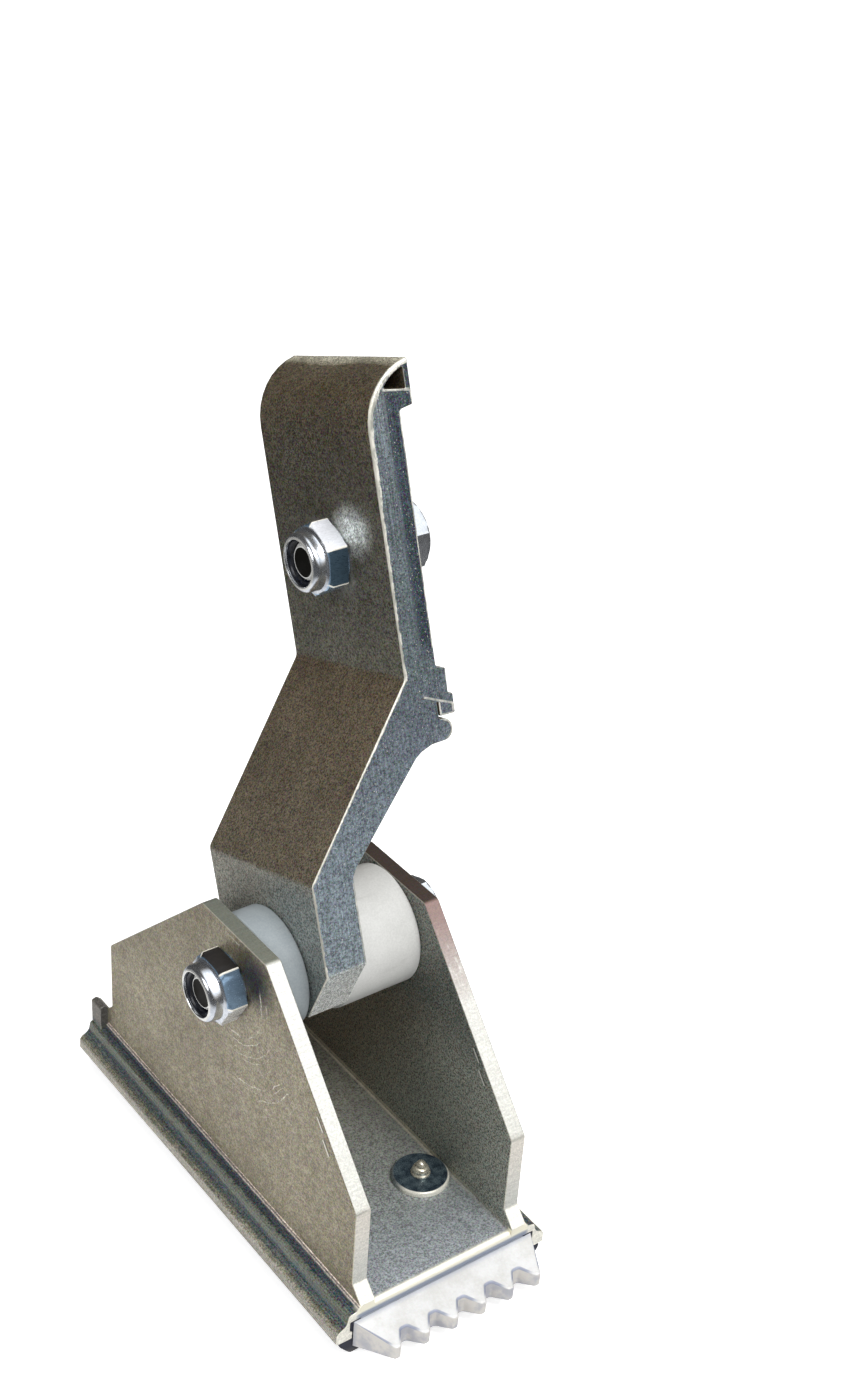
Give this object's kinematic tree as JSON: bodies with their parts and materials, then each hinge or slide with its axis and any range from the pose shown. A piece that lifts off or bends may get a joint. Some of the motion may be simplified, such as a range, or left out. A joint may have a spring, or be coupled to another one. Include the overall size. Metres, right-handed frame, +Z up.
{
  "type": "ladder foot",
  "caption": "Swivelling ladder foot: a cranked arm on a pivot bolt between two ears, a rubber sole in a channel shoe and a toothed claw plate in front.",
  "frame": {"origin": "centre of the sole's underside, on the ground", "axes": "+Z up, -Y towards the claws, +X from the outer ear to the inner ear, towards the inside of the ladder"},
  "size_m": [0.0831, 0.1443, 0.2197],
  "materials": {
    "extrusion": "weathered mill finish, sawn ends",
    "claw": "tumbled",
    "sole": "matt moulded",
    "spacer": "matt",
    "zinc": "bright zinc plate",
    "rivet": "dulled",
    "insert": "smooth"
  },
  "bodies": {
    "shoe": {"shoe_channel": "extrusion", "claw_plate": "claw", "rubber_sole": "sole", "claw_rivets": "rivet", "rivet_mandrels": "rivet", "rivet_washers": "rivet", "outer_spacer": "spacer", "inner_spacer": "spacer", "pivot_bolt": "zinc", "pivot_washer": "zinc", "pivot_nut": "zinc", "pivot_nut_insert": "insert"},
    "arm": {"arm": "extrusion", "stile_bolt": "zinc", "stile_washer": "zinc", "stile_nut": "zinc", "stile_nut_insert": "insert"}
  },
  "joints": [
    {"name": "shoe_swivel", "type": "hinge", "parent": "shoe", "child": "arm", "pos_m": [0, -0.004, 0.0745], "axis": [1, 0, 0], "range_deg": [-60, 95]}
  ]
}
